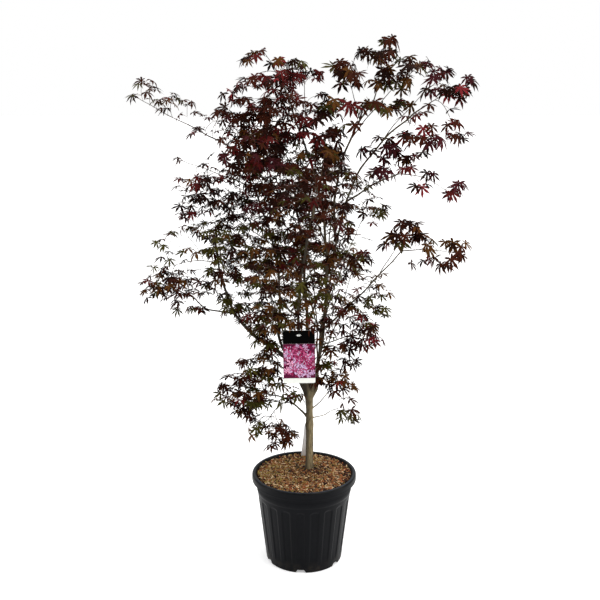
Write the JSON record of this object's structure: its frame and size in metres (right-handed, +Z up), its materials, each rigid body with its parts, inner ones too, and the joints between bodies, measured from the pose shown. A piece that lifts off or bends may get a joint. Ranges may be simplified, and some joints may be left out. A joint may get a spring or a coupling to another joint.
{
  "type": "potted japanese maple",
  "caption": "Young dark-red Japanese maple with a low fork, slender upright stems and tiered leafy sprays, in a round ribbed black nursery pot topped with bark mulch.",
  "frame": {"origin": "centre of the pot's flat underside, on the floor", "axes": "+Z up the pot and trunk, +X to the right and -Y to the front, the side that the picture card faces"},
  "size_m": [1.0129, 0.7583, 1.5806],
  "materials": {
    "pot_black": "satin black injection-moulded plastic",
    "compost_damp": "dark damp compost",
    "bark_mulch": "rough brown bark chips",
    "bark": "smooth grey-brown bark",
    "leaves_dark_red": "dark maroon leaves with crimson and bronze tips",
    "card_pink": "glossy printed card in black and pinks, no text",
    "plastic_white": "plain white plastic"
  },
  "bodies": {
    "root": {"pot": "pot_black", "compost": "compost_damp", "mulch": "bark_mulch", "trunk": "bark", "stem_centre": "bark", "stem_left": "bark", "stem_right": "bark", "stem_back": "bark", "stem_front": "bark", "stem_far_left": "bark", "arm_low_left": "bark", "limb_top_right": "bark", "arm_right": "bark", "limb_droop": "bark", "arm_back": "bark", "arm_front": "bark", "branch_low_left": "bark", "twig_skirt_droop": "bark", "branch_skirt_upper": "bark", "branch_low_right": "bark", "branch_right_upper": "bark", "branch_right_tip": "bark", "branch_right_droop": "bark", "spray_far_left": "leaves_dark_red", "shoulder_left": "leaves_dark_red", "plume_left": "leaves_dark_red", "plume_left_tip": "leaves_dark_red", "crown_upper_left": "leaves_dark_red", "tier_upper_left": "leaves_dark_red", "crown_left": "leaves_dark_red", "tier_left": "leaves_dark_red", "spray_low_arm_left": "leaves_dark_red", "crown_mid_left": "leaves_dark_red", "crown_low_left": "leaves_dark_red", "crown_top": "leaves_dark_red", "crown_upper": "leaves_dark_red", "crown_heart": "leaves_dark_red", "crown_mid": "leaves_dark_red", "tip_top_right": "leaves_dark_red", "crest_right": "leaves_dark_red", "spray_far_right": "leaves_dark_red", "shoulder_right": "leaves_dark_red", "spray_droop_right": "leaves_dark_red", "crown_right": "leaves_dark_red", "spray_arm_right": "leaves_dark_red", "crown_low_right": "leaves_dark_red", "tip_low_right": "leaves_dark_red", "droop_low_right": "leaves_dark_red", "skirt_left_upper": "leaves_dark_red", "skirt_left": "leaves_dark_red", "skirt_left_droop": "leaves_dark_red", "skirt_right_upper": "leaves_dark_red", "skirt_right": "leaves_dark_red", "crown_back_high": "leaves_dark_red", "crown_back_low": "leaves_dark_red", "crown_front_high": "leaves_dark_red", "crown_front_low": "leaves_dark_red", "picture_card": "card_pink", "card_strap": "plastic_white", "stick_label": "plastic_white"}
  },
  "joints": []
}
